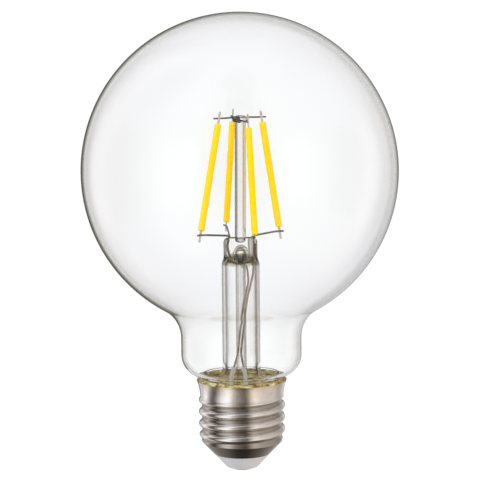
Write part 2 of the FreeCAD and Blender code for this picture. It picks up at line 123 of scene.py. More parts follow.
# Adds one node with its settings, its input values, its links and, for a ramp, its stops. A link
# comes from an output, or from a node, which gives the first output that its settings leave on.
def addNode(tree, kind, values=None, links=None, stops=None, **settings):
    node = tree.nodes.new("ShaderNode" + kind)
    for setting, value in settings.items():
        setattr(node, setting, value)
    for socket, value in (values or {}).items():
        node.inputs[socket].default_value = value
    for socket, source in (links or {}).items():
        if isinstance(source, bpy.types.Node):
            source = next(output for output in source.outputs if output.enabled)
        tree.links.new(source, node.inputs[socket])
    if stops:
        elements = node.color_ramp.elements
        while len(elements) < len(stops):
            elements.new(0.5)
        for element, (place, colour) in zip(elements, stops):
            element.position = place
            element.color = linear(colour)
    return node


# A finish by its name and shader values, where an underscore stands for a space.
def newMaterial(name, **shaderValues):
    material = bpy.data.materials.new(name)
    material.use_nodes = True
    shader = material.node_tree.nodes["Principled BSDF"]
    for socket, value in shaderValues.items():
        shader.inputs[socket.replace("_", " ")].default_value = value
    return material, material.node_tree, shader


# A finish whose colour wanders through the stops with a noise of the given grain in mm, and
# whose surface rises and falls by relief mm with a finer noise.
def mottled(name, stops, grain, relief=0.0, reliefGrain=0.5, **shaderValues):
    material, tree, shader = newMaterial(name, **shaderValues)
    add = partial(addNode, tree)
    place = add("TexCoord").outputs["Object"]
    noise = add("TexNoise", {"Scale": 1 / (grain * mm), "Detail": 4.0, "Roughness": 0.6}, {"Vector": place})
    ramp = add("ValToRGB", None, {"Fac": noise}, stops)
    tree.links.new(ramp.outputs["Color"], shader.inputs["Base Color"])
    if relief:
        fine = add("TexNoise", {"Scale": 1 / (reliefGrain * mm), "Detail": 3.0}, {"Vector": place})
        bump = add("Bump", {"Distance": relief * mm, "Strength": 1.0}, {"Height": fine})
        tree.links.new(bump.outputs["Normal"], shader.inputs["Normal"])
    return material


# Clear glass: painted shade deepens the tint where the surface turns away, in place of the dark
# surroundings seen through the edges; a little of it is the real tint of the longer way through the
# wall. Drawn glass has waves of waveHeight mm too.
def clearGlass(name, stops, waveGrain=0, waveHeight=0, roughness=0.0):
    material, tree, shader = newMaterial(name, Transmission_Weight=1.0, IOR=1.52, Roughness=roughness)
    add = partial(addNode, tree)
    # Painted shade by Facing: the tint is darker where the surface turns away.
    facing = add("LayerWeight", {"Blend": 0.5}).outputs["Facing"]
    ramp = add("ValToRGB", None, {"Fac": facing}, stops)
    tree.links.new(ramp.outputs["Color"], shader.inputs["Base Color"])
    if waveHeight:
        place = add("TexCoord").outputs["Object"]
        wave = add("TexNoise", {"Scale": 1 / (waveGrain * mm), "Detail": 1.0}, {"Vector": place})
        bump = add("Bump", {"Distance": waveHeight * mm, "Strength": 1.0}, {"Height": wave})
        tree.links.new(bump.outputs["Normal"], shader.inputs["Normal"])
    return material


# What a further tint builds on: the tree, shader and colour ramp of a finish, and the ramp's drive.
def opened(material):
    shader = material.node_tree.nodes["Principled BSDF"]
    ramp = shader.inputs["Base Color"].links[0].from_node
    return material.node_tree, shader, ramp, ramp.inputs["Fac"].links[0].from_socket


# Glass that is bonded to cement bends light hardly more than air does: the index of the finish
# falls to bondedIndex from its height clear down to its height sunk.
bondedIndex = 1.04


def sinkGlass(tree, height, finish):
    bend = addNode(tree, "MapRange", {
        "From Min": finish["clear"] * mm, "From Max": finish["sunk"] * mm,
        "To Min": finish["index"], "To Max": bondedIndex}, {"Value": height})
    tree.links.new(bend.outputs["Result"], tree.nodes["Principled BSDF"].inputs["IOR"])


# Soda-lime glass, blown thin: almost without colour, with a painted grey-olive shade line at its rim,
# painted paler low on the right where more light falls, and hardly there where the seal goes down into the
# cement.
blown = {"clear": 31.5, "sunk": 29.5, "index": 1.4, "sealTop": 37, "sealFoot": 33, "sealShare": 0.85,
         "sealTint": "#fbfcfc", "paleFrom": 12, "paleTo": 38, "heightsFoot": 40, "heightsTop": 120,
         "rim": [(0.0, "#fcfdfd"), (0.45, "#fbfbfc"), (0.62, "#f9f9fa"), (0.86, "#f7f7f7"),
                 (0.93, "#d4d5d1"), (0.975, "#94968c"), (1.0, "#7d8074")],
         "paleRimShade": [(0.0, "#fcfdfd"), (0.45, "#fbfbfc"), (0.62, "#f4f4f7"), (0.86, "#f0f0f3"),
                     (0.93, "#d3d3d5"), (0.975, "#b2b2b2"), (1.0, "#a2a39f")],
         "paleHeights": [(0.2, "#000000"), (0.27, "#ffffff"), (0.42, "#ffffff"), (0.66, "#000000")]}


def makeBlownGlass():
    material = clearGlass("blown soda-lime glass", blown["rim"])
    tree, shader, rim, facing = opened(material)
    add = partial(addNode, tree)
    place = add("TexCoord").outputs["Object"]
    axes = add("SeparateXYZ", None, {"Vector": place}).outputs
    sinkGlass(tree, axes["Z"], blown)
    # Painted shade at the rim, in a paler copy low on the right as if more light fell there.
    paleRimShade = add("ValToRGB", None, {"Fac": facing}, blown["paleRimShade"])
    rightward = add("MapRange", {
        "From Min": blown["paleFrom"] * mm, "From Max": blown["paleTo"] * mm}, {"Value": axes["X"]})
    height = add("MapRange", {
        "From Min": blown["heightsFoot"] * mm, "From Max": blown["heightsTop"] * mm}, {"Value": axes["Z"]})
    lowHalf = add("ValToRGB", None, {"Fac": height}, blown["paleHeights"])
    pale = add("Math", None, {0: rightward, 1: lowHalf}, operation="MULTIPLY")
    tint = add("Mix", None, {0: pale, 6: rim, 7: paleRimShade}, data_type="RGBA")
    # The painted rim shade fades out towards the seal.
    atSeal = add("MapRange", {
        "From Min": blown["sealTop"] * mm, "From Max": blown["sealFoot"] * mm,
        "To Max": blown["sealShare"]}, {"Value": axes["Z"]})
    both = add("Mix", {7: linear(blown["sealTint"])}, {0: atSeal, 6: tint}, data_type="RGBA")
    tree.links.new(both.outputs[2], shader.inputs["Base Color"])
    return material


blownGlass = makeBlownGlass()
# Soda-lime glass tube, drawn: clear, with broad painted grey shade lines where its thick wall turns away.
drawnGlass = clearGlass("drawn soda-lime glass", [
    (0.0, "#fefefe"), (0.3, "#f6f5f3"), (0.5, "#b9b5b0"), (0.75, "#6f6b67"), (1.0, "#2f2d2a")], 4, 0.02)

# Where the exhaust hole opens in the press and its half sizes, for the shape and for the glass
stemHole = {"x": 0.0, "z": 65.9, "wide": 1.5, "high": 2.0}

# The drawn tube where it was pinched hot round two leads: a painted dark olive shade ring where it
# closes, a clear press with painted brown shade at its edges and reddish seals round the leads, and a
# painted olive shade rim on its hole.
# Ring tones go by height, seal tones by x, and hole tones outwards, with the hole's edge at 0.5.
pinched = {"clear": 36, "sunk": 32, "index": 1.52, "pressFrom": 64.6, "pressTo": 65.4, "boreRadius": 5.25,
           "ringFoot": 60, "ringTop": 72, "foldGrain": 1.6, "foldShift": 0.07, "sealHalf": 6,
           "tube": [(0.0, "#fefefe"), (0.6, "#fcfcfb"), (0.86, "#e4e3e0"), (0.95, "#9f9c97"),
                    (1.0, "#373532")],
           "bore": [(0.0, "#fefefe"), (0.3, "#fbfbfa"), (0.4, "#e4e2df"), (0.47, "#b5b2ad"),
                    (0.53, "#7d7a75"), (0.6, "#5b5854"), (0.75, "#413e3b"), (1.0, "#2a2826")],
           "press": [(0.0, "#fefefd"), (0.35, "#f3f1ea"), (0.6, "#9c9583"), (1.0, "#2e2619")],
           "ring": [(0.2, "#ffffff"), (0.25, "#b3ae96"), (0.31, "#8f8a6e"), (0.36, "#c3bea6"),
                    (0.41, "#8d886d"), (0.45, "#a5a08b"), (0.5, "#ffffff"), (0.86, "#ffffff"),
                    (0.9, "#d3cfc4")],
           "seals": [(0.0, "#7a756f"), (0.13, "#5d5a4e"), (0.16, "#8a887b"), (0.19, "#ffffff"),
                     (0.675, "#ffffff"), (0.695, "#9a958d"), (0.72, "#a19b93"), (0.745, "#d9d2cb"),
                     (0.79, "#b3a9a0"), (0.83, "#8a7a6f"), (0.87, "#776659"), (0.92, "#a39a8e")],
           "hole": [(0.0, "#ffffff"), (0.3, "#fbfaf4"), (0.37, "#aeab99"), (0.45, "#605d49"),
                    (0.53, "#6c6955"), (0.6, "#cfccbd"), (0.68, "#ffffff")]}


def makeStemGlass():
    material = clearGlass("pinched soda-lime glass", pinched["tube"], 4, 0.02)
    tree, shader, outside, facing = opened(material)
    add = partial(addNode, tree)
    place = add("TexCoord").outputs["Object"]
    axes = add("SeparateXYZ", None, {"Vector": place}).outputs
    sinkGlass(tree, axes["Z"], pinched)

    # The tube, whose painted edge shade comes sooner in the bore than outside, gives way to the press.
    bore = add("ValToRGB", None, {"Fac": facing}, pinched["bore"])
    flatPlace = add("VectorMath", {1: (1, 1, 0)}, {0: place}, operation="MULTIPLY")
    radius = add("VectorMath", None, {0: flatPlace}, operation="LENGTH")
    inBore = add("Math", {1: pinched["boreRadius"] * mm},
                 {0: radius.outputs["Value"]}, operation="LESS_THAN")
    tube = add("Mix", None, {0: inBore, 6: outside, 7: bore}, data_type="RGBA")
    # Painted shade: brown darkening where the press surface turns away.
    press = add("ValToRGB", None, {"Fac": facing}, pinched["press"])
    inPress = add("MapRange", {
        "From Min": pinched["pressFrom"] * mm, "From Max": pinched["pressTo"] * mm}, {"Value": axes["Z"]})
    tone = add("Mix", None, {0: inPress, 6: tube, 7: press}, data_type="RGBA")

    # The seals tint the press, painted shade rims the hole, and a painted shade ring with folds in it darkens
    # the shoulder.
    across = add("MapRange", {
        "From Min": -pinched["sealHalf"] * mm, "From Max": pinched["sealHalf"] * mm}, {"Value": axes["X"]})
    seals = add("ValToRGB", None, {"Fac": across}, pinched["seals"])
    fromHole = add("Mapping", {
        "Location": (-stemHole["x"] / stemHole["wide"], 0, -stemHole["z"] / stemHole["high"]),
        "Scale": (1 / (stemHole["wide"] * mm), 0, 1 / (stemHole["high"] * mm))}, {"Vector": place})
    out = add("VectorMath", None, {0: fromHole}, operation="LENGTH")
    half = add("Math", {1: 0.5}, {0: out.outputs["Value"]}, operation="MULTIPLY")
    # Painted shade: a dark olive rim round the hole, by distance from its middle.
    rim = add("ValToRGB", None, {"Fac": half}, pinched["hole"])
    for tint in (seals, rim):
        tone = add("Mix", None, {0: inPress, 6: tone, 7: tint}, data_type="RGBA", blend_type="MULTIPLY")
    # Painted shade: a dark olive ring round the shoulder, by height, with noise folds.
    height = add("MapRange", {
        "From Min": pinched["ringFoot"] * mm, "From Max": pinched["ringTop"] * mm}, {"Value": axes["Z"]})
    folds = add("TexNoise", {"Scale": 1 / (pinched["foldGrain"] * mm), "Detail": 2.0}, {"Vector": place})
    folded = add("Math", {1: 2 * pinched["foldShift"], 2: -pinched["foldShift"]},
                 {0: folds}, operation="MULTIPLY_ADD")
    uneven = add("Math", None, {0: height, 1: folded}, operation="ADD")
    ring = add("ValToRGB", None, {"Fac": uneven}, pinched["ring"])
    tone = add("Mix", {0: 1.0}, {6: tone, 7: ring}, data_type="RGBA", blend_type="MULTIPLY")
    tree.links.new(tone.outputs[2], shader.inputs["Base Color"])
    return material


stemGlass = makeStemGlass()

# The same glass as a solid rod, which bends the light more: a broad painted dark shade line down its
# left side, where it turns away, and a painted tan reflection with a thin painted dark edge down its right.
solidRod = {"roughness": 0.1, "leftHalf": 0.6,
            "right": [(0.0, "#fbfbfa"), (0.06, "#f6f5f2"), (0.1, "#d3c8b6"), (0.2, "#cabda8"),
                      (0.25, "#e6e4e0"), (0.6, "#dddbd8"), (0.85, "#8f8c88"), (1.0, "#5a5754")],
            "left": [(0.0, "#fbfbfa"), (0.09, "#ebebea"), (0.17, "#8c8b88"), (0.4, "#565553"),
                     (1.0, "#464443")]}


def makeRodGlass():
    material = clearGlass("solid glass rod", solidRod["right"], 3, 0.005, solidRod["roughness"])
    tree, shader, right, facing = opened(material)
    add = partial(addNode, tree)
    # Painted shade down the left half by x; the right ramp paints a tan reflection and a dark edge.
    left = add("ValToRGB", None, {"Fac": facing}, solidRod["left"])
    place = add("TexCoord").outputs["Object"]
    across = add("SeparateXYZ", None, {"Vector": place}).outputs["X"]
    leftward = add("MapRange", {"From Min": 0.0, "From Max": -solidRod["leftHalf"] * mm}, {"Value": across})
    both = add("Mix", None, {0: leftward, 6: right, 7: left}, data_type="RGBA")
    tree.links.new(both.outputs[2], shader.inputs["Base Color"])
    return material


rodGlass = makeRodGlass()
# Silicone filled with phosphor, moulded round the dies: an even, soft, strong yellow.
phosphorSilicone = mottled("phosphor-filled silicone", [(0.3, "#f6ca00"), (0.7, "#fad600")], 1.2, 0.01, 0.4,
                           Roughness=0.6, IOR=1.41, Specular_IOR_Level=0.06)
# Alumina strip under the dies, matt and white.
aluminaStrip = mottled("alumina strip", [(0.3, "#e9e6da"), (0.7, "#f6f4ea")], 0.5, Roughness=0.6, IOR=1.76)
# Tin-plated steel tab, stamped: light silver, slightly pink where it was welded.
platedTab = mottled("tin-plated steel tab", [(0.3, "#cdc2bd"), (0.7, "#efe9e6")], 0.8, 0.004, 0.2,
                    Metallic=0.85, Roughness=0.42)
# Nickel wire after sealing in the flame: dull dark steel.
wireTones = [(0.3, "#575453"), (0.7, "#8a8785")]
nickelWire = mottled("flame-darkened nickel wire", wireTones, 0.9, 0.003, 0.15, Metallic=1.0, Roughness=0.4)

# Copper-clad lead wire, oxidised by the sealing flame: beige brown with redder patches up to
# the top of the press, and flame-darkened steel grey above it.
sealedWire = {"brownTop": 69.5, "greyFoot": 71,
              "brown": [(0.3, "#816f65"), (0.55, "#ab9a8d"), (0.75, "#d2c6bc")]}


def makeSealedLead():
    material = mottled("oxidised copper-clad lead", sealedWire["brown"], 2.5, 0.003, 0.2,
                       Metallic=0.6, Roughness=0.45)
    tree, shader, brown, noise = opened(material)
    add = partial(addNode, tree)
    grey = add("ValToRGB", None, {"Fac": noise}, wireTones)
    place = add("TexCoord").outputs["Object"]
    height = add("SeparateXYZ", None, {"Vector": place}).outputs["Z"]
    outside = add("MapRange", {
        "From Min": sealedWire["brownTop"] * mm, "From Max": sealedWire["greyFoot"] * mm}, {"Value": height})
    both = add("Mix", None, {0: outside, 6: brown, 7: grey}, data_type="RGBA")
    tree.links.new(both.outputs[2], shader.inputs["Base Color"])
    return material


sealedLead = makeSealedLead()
# Copper wire, drawn and tinned: bright grey.
tinnedCopper = mottled("tinned copper wire", [(0.3, "#a9a5a0"), (0.7, "#c9c6c2")], 0.8, 0.003, 0.2,
                       Metallic=1.0, Roughness=0.35)
# Clear silicone sleeve, extruded: milky blue-white with a soft shine.
milkySleeve = mottled("extruded silicone sleeve", [(0.3, "#b4bfbf"), (0.7, "#d7dfde")], 1.5, 0.01, 0.4,
                      Roughness=0.3, IOR=1.41, Transmission_Weight=0.6)
# Glass-fibre laminate under green solder mask, moulded chips, a shrunk sleeve, a pressed and
# fired core, and a dipped resistor: the driver, which only the cut-open cap would show.
boardMask = mottled("solder-masked laminate", [(0.3, "#2f5a3a"), (0.7, "#3d6f48")], 1.0, 0.01, 0.3,
                    Roughness=0.4)
moulding = mottled("moulded epoxy", [(0.3, "#1d1d1f"), (0.7, "#2a2a2c")], 0.6, 0.01, 0.15, Roughness=0.55)
capacitorSleeve = mottled("shrunk vinyl sleeve", [(0.3, "#23262b"), (0.7, "#2d3137")], 2.0, 0.005, 0.4,
                          Roughness=0.35)
ferrite = mottled("sintered ferrite", [(0.3, "#35322f"), (0.7, "#4b4743")], 0.5, 0.02, 0.2, Roughness=0.6)
resistorLacquer = mottled("resistor lacquer", [(0.3, "#6f8896"), (0.7, "#87a0ad")], 1.0, 0.01, 0.4,
                          Roughness=0.4)

# Nickel-plated steel, rolled: a satin mirror with fine lines that run round the cap, and painted
# shade darkening the colour in the roots of the thread.
plated = {"hazeGrain": 3, "lineGrain": 2, "lineStretch": 14, "lineHeight": 0.006, "crestRadius": 12.6,
          "rootRadius": 12.2, "paintedRootShade": "#bdb9b4", "smoothest": 0.1, "dullest": 0.22,
          "tones": [(0.3, "#e0dfde"), (0.55, "#eae9e8"), (0.8, "#f2f1f0")]}


def makePlatedSteel():
    material, tree, shader = newMaterial("rolled nickel-plated steel", Metallic=1.0)
    add = partial(addNode, tree)
    place = add("TexCoord").outputs["Object"]
    haze = add("TexNoise", {
        "Scale": 1 / (plated["hazeGrain"] * mm), "Detail": 5.0, "Roughness": 0.65}, {"Vector": place})
    tone = add("ValToRGB", None, {"Fac": haze}, plated["tones"])
    flatPlace = add("VectorMath", {1: (1, 1, 0)}, {0: place}, operation="MULTIPLY")
    radius = add("VectorMath", None, {0: flatPlace}, operation="LENGTH")
    # Painted shade: the colour darkens from the crest down into the root of the thread.
    root = add("MapRange", {
        "From Min": plated["crestRadius"] * mm, "From Max": plated["rootRadius"] * mm},
        {"Value": radius.outputs["Value"]})
    rootShadedTone = add("Mix", {7: linear(plated["paintedRootShade"])}, {0: root, 6: tone},
                 data_type="RGBA", blend_type="MULTIPLY")
    tree.links.new(rootShadedTone.outputs[2], shader.inputs["Base Color"])
    wear = add("MapRange", {"To Min": plated["smoothest"], "To Max": plated["dullest"]}, {"Value": haze})
    tree.links.new(wear.outputs["Result"], shader.inputs["Roughness"])
    stretched = add("Mapping", {"Scale": (1, 1, plated["lineStretch"])}, {"Vector": place})
    lines = add("TexNoise", {"Scale": 1 / (plated["lineGrain"] * mm), "Detail": 3.0}, {"Vector": stretched})
    bump = add("Bump", {"Distance": plated["lineHeight"] * mm, "Strength": 1.0}, {"Height": lines})
    tree.links.new(bump.outputs["Normal"], shader.inputs["Normal"])
    return material


platedSteel = makePlatedSteel()
# Capping cement, baked resin and marble flour: olive brown with pale specks and dark pits.
cappingCement = mottled("baked capping cement", [
    (0.32, "#4a3a1c"), (0.41, "#7a6633"), (0.49, "#948351"), (0.56, "#ad9f70"), (0.66, "#ded4b4")],
    1.7, 0.14, 0.6, Roughness=0.6)
# Moulded insulator: an even light grey with a dull shine.
mouldedInsulator = mottled("moulded grey insulator", [(0.3, "#d3d2d5"), (0.7, "#dcdbdd")], 3.0, 0.01, 0.5,
                           Roughness=0.38)
# Brass contact, stamped and plated: a duller grey than the shell.
contactPlate = mottled("plated brass contact", [(0.3, "#8d8a86"), (0.7, "#b7b3ae")], 1.5, 0.01, 0.3,
                       Metallic=1.0, Roughness=0.35)
print("Materials made:", len(bpy.data.materials))


# Glass envelope: a ball, a hollow fillet into the neck, a round shoulder and the seal tube.
globe = {"radius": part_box("globe_envelope")[1].y / mm, "middle": 90.7, "wall": 0.8, "neck": 18.2,
         "fillet": 10.4, "sealRadius": 11.5, "shoulderTop": 35.3, "shoulderRadius": 6.7, "sealFoot": 26.2}


# One side of the wall as a profile: arc of the ball down to the touching angle, arc of the
# fillet round its own middle, straight neck, quarter arc of the shoulder.
def envelopeSide(inset):
    reach = globe["neck"] + globe["fillet"]
    drop = math.sqrt((globe["radius"] + globe["fillet"]) ** 2 - reach ** 2)
    slope = math.degrees(math.atan2(drop, reach))
    filletZ = globe["middle"] - drop
    return np.concatenate([
        arc(0, globe["middle"], globe["radius"] - inset, 90, -slope, 130),
        arc(reach, filletZ, globe["fillet"] + inset, 180 - slope, 180, 22)[1:],
        run((globe["neck"] - inset, filletZ), (globe["neck"] - inset, globe["shoulderTop"]), 6)[1:],
        arc(globe["sealRadius"], globe["shoulderTop"], globe["shoulderRadius"] - inset, 0, -90, 20)[1:]])


# The outside down to the shoulder, the seal tube down and up, and the inside, turned about Z.
def makeGlobe():
    outer, inner = envelopeSide(0), envelopeSide(globe["wall"])
    outer[0, 0] = inner[0, 0] = 0
    sealFoot = (globe["sealRadius"], globe["sealFoot"])
    innerFoot = (globe["sealRadius"] - globe["wall"], globe["sealFoot"])
    seal = np.concatenate([run(outer[-1], sealFoot, 5)[1:], [innerFoot],
                           run(innerFoot, (innerFoot[0], inner[-1][1]), 5)[1:]])
    profile = np.concatenate([outer, seal, inner[::-1]])
    return makePiece("blown_globe", turned(profile, 256), blownGlass, ["globe_envelope"])


# Stem: bell, straight tube, pinched shoulder and flat press with the exhaust hole in front.
stem = {"radius": 5.7, "wall": 0.9, "bellRadius": 5.0, "bellTop": 31.2, "shoulderFoot": 62.5,
        "pressFoot": 65.0, "pressTop": 70.75, "halfWidth": 5.1, "halfDepth": 2.0, "corner": 1.6,
        "edge": 0.7, "squareness": 4.5, "roof": 64.4, "cavityWidth": 4.0, "cavityDepth": 0.8,
        "holeDepth": 1.5, "lip": 0.3, "frontFrom": 0.8, "frontTo": 1.5, "wave": 0.05}


# A closed curve at each height: x = a times cos(t) to the power 2/p and y = b times sin(t) to
# the power 2/p, signs kept, so p = 2 is an ellipse and a higher p is squarer.
def superOvals(a, b, p, z, columns):
    t = (np.arange(columns) + 0.5) * 2 * np.pi / columns
    power = 2 / np.asarray(p)[:, None]
    x = a[:, None] * np.sign(np.cos(t)) * np.abs(np.cos(t)) ** power
    y = b[:, None] * np.sign(np.sin(t)) * np.abs(np.sin(t)) ** power
    return np.stack([x, y, z[:, None] + 0 * t], axis=-1)


# The outside of the stem from the flange to the ridge, or its bore up to the roof: round until
# the shoulder, then blended by the smooth share into the flat oval of the press.
def stemSide(inset, flat, top, halfWidth, halfDepth, zRows):
    bell = arc(stem["radius"] + stem["bellRadius"], stem["bellTop"], stem["bellRadius"] + inset,
               270, 180, 14)
    z = np.concatenate([bell[:, 1], zRows])
    r = np.concatenate([bell[:, 0], np.full(len(zRows), stem["radius"] - inset)])
    share = smooth(z, stem["shoulderFoot"], flat)
    a = r + (halfWidth - r) * share
    b = r + (halfDepth - r) * share
    return a, b, 2 + (stem["squareness"] - 2) * share, z


# Ovals in rows from the roof down the bore, over the flange and up the outside to the ridge. The
# outside draws in at its corners and edge by r - sqrt(r^2 - d^2), with d the height into the round.
def makeStem(columns=240):
    above = stem["pressTop"]
    zRows = np.concatenate([np.linspace(stem["bellTop"], stem["shoulderFoot"], 40)[1:],
                            np.linspace(stem["shoulderFoot"], stem["pressFoot"], 22)[1:],
                            np.linspace(stem["pressFoot"], above - 0.02, 54)[1:]])
    a, b, p, z = stemSide(0, stem["pressFoot"], above, stem["halfWidth"], stem["halfDepth"], zRows)
    intoCorner = np.clip(z - (above - stem["corner"]), 0, stem["corner"])
    a = a - stem["corner"] + np.sqrt(stem["corner"] ** 2 - intoCorner ** 2)
    intoEdge = np.clip(z - (above - stem["edge"]), 0, stem["edge"])
    b = b - stem["edge"] + np.sqrt(stem["edge"] ** 2 - intoEdge ** 2)
    outside = superOvals(a, b, p, z, columns)
    ridge = superOvals(a[-1] * np.array([0.96, 0.9, 0.8]), b[-1] * np.array([0.7, 0.35, 0.0]),
                       p[-1:].repeat(3), np.full(3, above), columns)

    # The hole: a pocket pushed in from the front and a raised, uneven lip around it.
    x, y, height = outside[..., 0], outside[..., 1], outside[..., 2]
    angle = np.arctan2(height - stemHole["z"], x - stemHole["x"])
    uneven = 1 + 0.08 * np.sin(2 * angle + 0.7) + 0.06 * np.sin(3 * angle - 1.1)
    out = np.hypot((x - stemHole["x"]) / stemHole["wide"], (height - stemHole["z"]) / stemHole["high"])
    out = out / uneven
    front = smooth(-y, stem["frontFrom"], stem["frontTo"])
    pocket = stem["holeDepth"] * (1 - smooth(out, 0.55, 1.0))
    lip = stem["lip"] * np.exp(-((out - 1.2) / 0.18) ** 2)
    outside[..., 1] += front * (pocket - lip)
    # Faint waves left by the jaws on both flat sides.
    flat = smooth(height, stem["shoulderFoot"], stem["pressFoot"])
    outside[..., 1] += flat * stem["wave"] * np.sin(1.9 * height + 0.8 * x) * np.sin(1.3 * x + 0.6)

    innerRows = np.concatenate([np.linspace(stem["bellTop"], stem["shoulderFoot"], 30)[1:],
                                np.linspace(stem["shoulderFoot"], stem["roof"], 14)[1:]])
    a, b, p, z = stemSide(stem["wall"], stem["roof"], stem["roof"], stem["cavityWidth"],
                          stem["cavityDepth"], innerRows)
    inside = superOvals(a, b, p, z, columns)
    roof = superOvals(a[-1] * np.array([0.9]), b[-1] * np.array([0.0]), p[-1:], z[-1:], columns)
    flangeRadii = np.full(2, globe["sealRadius"])
    flange = superOvals(flangeRadii, flangeRadii, [2, 2],
                        np.array([globe["sealFoot"] - stem["wall"], globe["sealFoot"]]), columns)
    grid = np.concatenate([roof, inside[::-1], flange, outside, ridge])
    return makePiece("pressed_stem", grid, stemGlass, ["stem_glass"])


# Exhaust tube: closed by a flame at its tip and open into the press.
exhaust = {"radius": 1.55, "bore": 0.9, "tip": 19.0, "top": 65.7}


# A quarter circle for the tip, the straight outside and bore, and a quarter circle for the floor
# of the bore, turned about Z.
def makeExhaustTube():
    tip, radius, bore = exhaust["tip"], exhaust["radius"], exhaust["bore"]
    profile = np.concatenate([
        arc(0, tip + radius, radius, -90, 0, 12), run((radius, tip + 2), (radius, exhaust["top"]), 30),
        run((bore, exhaust["top"]), (bore, tip + 2 * radius + bore), 30),
        arc(0, tip + 2 * radius + bore, bore, 0, -90, 8)])
    profile[0, 0] = profile[-1, 0] = 0
    return makePiece("pump_tube", turned(profile, 48), drawnGlass, ["exhaust_tube"])


# Support rod with its melted button: leans by turning about Y through the top of the press.
rod = {"radius": 1.65, "seat": 1.5, "seatRound": 0.6, "lean": 0.5, "buttonRadius": 2.4, "buttonHalf": 1.1,
       "buttonMiddle": 106.4}


# Quarter ellipses, r by sin(t) and z by cos(t), for the seat, the swell and the crown, with the
# straight rod between, turned about Z and then leaned.
def makeRod():
    radius, middle, half = rod["radius"], rod["buttonMiddle"], rod["buttonHalf"]
    foot = stem["pressTop"] - rod["seat"]
    t = np.radians(np.linspace(0, 90, 14))[:, None]
    seat = np.hstack([radius * np.sin(t), foot + rod["seatRound"] * radius * (1 - np.cos(t))])
    swell = np.hstack([radius + (rod["buttonRadius"] - radius) * np.sin(t), middle - half * np.cos(t)])
    crown = np.hstack([rod["buttonRadius"] * np.cos(t), middle + half * np.sin(t)])
    profile = np.concatenate([seat, run((radius, foot + 2), (radius, middle - half), 30), swell[1:],
                              crown[1:]])
    profile[0, 0] = profile[-1, 0] = 0
    grid = turned(profile, 64)
    lean = math.radians(rod["lean"])
    x, up = grid[..., 0].copy(), grid[..., 2] - stem["pressTop"]
    grid[..., 0] = x * math.cos(lean) + up * math.sin(lean)
    grid[..., 2] = stem["pressTop"] + up * math.cos(lean) - x * math.sin(lean)
    return makePiece("glass_rod", grid, rodGlass, ["support_rod"])


# Filaments: a soft-edged bar of silicone from a foot near the press to a head by the button.
filament = {"turn": 20.0, "footRadius": 12.45, "headRadius": 7.0, "halfWide": 0.97, "halfThick": 0.9,
            "endRound": 0.5, "squareness": 2.7, "unevenness": 0.02}
# Quarter turns from the right, height of the foot over the press, drop of the head under the button
filaments = {"right": (0, 2.55, 1.1), "back": (1, 3.25, 1.3), "left": (2, 2.6, 1.2), "front": (3, 2.25, 2.05)}


# Rings of the superellipse carried from foot to head; near each end the half sizes shrink by
# endRound times (1 - cos) while the ring moves out by endRound times sin, then close in a point.
def makeCoating(name, seed):
    quarter, footRise, headDrop = filaments[name]
    angle = math.radians(filament["turn"] + 90 * quarter)
    outward = np.array([math.cos(angle), math.sin(angle), 0])
    sideways = np.array([-math.sin(angle), math.cos(angle), 0])
    foot = outward * filament["footRadius"] + [0, 0, stem["pressTop"] + footRise]
    shift = math.sin(math.radians(rod["lean"])) * (rod["buttonMiddle"] - stem["pressTop"])
    head = outward * filament["headRadius"] + [shift, 0, rod["buttonMiddle"] - headDrop]
    along = (head - foot) / np.linalg.norm(head - foot)
    thick = sideways - along * (sideways @ along)
    thick = thick / np.linalg.norm(thick)
    wide = np.cross(thick, along)
    length = np.linalg.norm(head - foot)
    r = filament["endRound"]
    theta = np.radians(np.linspace(90, 0, 7))
    place = np.concatenate([[0], r * (1 - np.sin(theta)), np.linspace(r, length - r, 90)[1:-1],
                            length - r * (1 - np.sin(theta[::-1])), [length]])
    shrink = np.concatenate([[r], r * (1 - np.cos(theta)), np.zeros(88), r * (1 - np.cos(theta[::-1])),
                             [r]])
    wander = np.random.default_rng(seed).uniform(0, 6.28, 3)
    wave = np.sin(place * 0.9 + wander[0]) + 0.6 * np.sin(place * 2.3 + wander[1])
    wave = 1 + filament["unevenness"] * (wave + 0.5 * np.sin(place * 4.1 + wander[2]))
    a = (filament["halfWide"] - shrink) * wave
    b = (filament["halfThick"] - shrink) * wave
    a[0] = a[-1] = b[0] = b[-1] = 0
    rings = superOvals(a, b, np.full(len(place), filament["squareness"]), place, 40)
    grid = foot + rings[..., :1] * wide + rings[..., 1:2] * thick + rings[..., 2:] * along
    return makePiece("silicone_" + name, grid, phosphorSilicone, ["coating_" + name])


# Screw cap: one sheet, rolled. The thread is a crest arc and a root arc of one radius that meet
# at mid depth, carried round as a helix and faded into the skirt above and the cone below.
cap = {"height": 27.4, "rimRadius": 13.65, "skirtFoot": 22.9, "skirtFootRadius": 12.65, "flare": 1.7,
       "major": 26.15, "minor": 24.1, "pitch": 3.629, "crest": 19.5, "topFade": 1.5, "footFade": 2.6,
       "coneTop": 8.6, "coneTopRadius": 12.2, "coneFoot": 4.8, "coneFootRadius": 8.65, "sheet": 0.3}


# The skirt widens from its foot to its rim by the share of its height to the power flare.
def skirtRadius(z):
    share = np.clip((z - cap["skirtFoot"]) / (cap["height"] - cap["skirtFoot"]), 0, 1)
    return cap["skirtFootRadius"] + (cap["rimRadius"] - cap["skirtFootRadius"]) * share ** cap["flare"]


